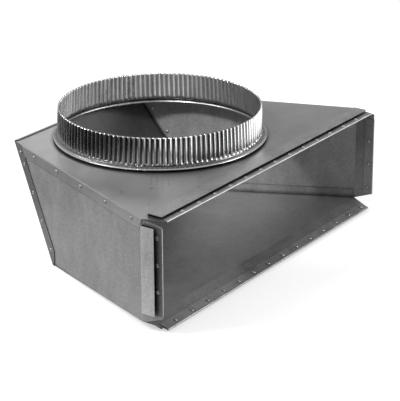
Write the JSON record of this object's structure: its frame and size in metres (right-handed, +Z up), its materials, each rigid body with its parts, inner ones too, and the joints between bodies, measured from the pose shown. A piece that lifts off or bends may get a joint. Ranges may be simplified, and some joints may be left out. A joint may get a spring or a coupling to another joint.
{
  "type": "duct transition",
  "caption": "Sheet metal duct transition turning a wide flat rectangular mouth up into a round crimped collar.",
  "frame": {"origin": "middle of the footprint at the level of the underside of the bottom plate's rear edge", "axes": "+X along the width of the mouth, +Y from the mouth towards the back panel, +Z up along the axis of the round collar"},
  "size_m": [0.4676, 0.3075, 0.1744],
  "materials": {
    "sheet_top": "galvanized steel sheet, dull with a soft sheen",
    "sheet_side": "galvanized steel sheet with a soft spangle",
    "sheet_back": "galvanized steel sheet, dull",
    "sheet_inside": "galvanized steel sheet, dull",
    "sheet_collar": "galvanized steel sheet, brighter and crimped",
    "sheet_slip": "folded galvanized steel strip",
    "rivet": "satin aluminium blind rivets"
  },
  "bodies": {
    "root": {"top_plate": "sheet_top", "bottom_plate": "sheet_inside", "left_side_panel": "sheet_side", "right_side_panel": "sheet_side", "back_panel": "sheet_back", "round_collar": "sheet_collar", "top_slip": "sheet_slip", "bottom_slip": "sheet_slip", "left_slip": "sheet_slip", "right_slip": "sheet_slip", "top_slip_rivets": "rivet", "bottom_slip_rivets": "rivet", "left_slip_rivets": "rivet", "right_slip_rivets": "rivet", "left_top_seam_rivets": "rivet", "right_top_seam_rivets": "rivet", "left_back_seam_rivets": "rivet", "right_back_seam_rivets": "rivet", "collar_rivet": "rivet"}
  },
  "joints": []
}
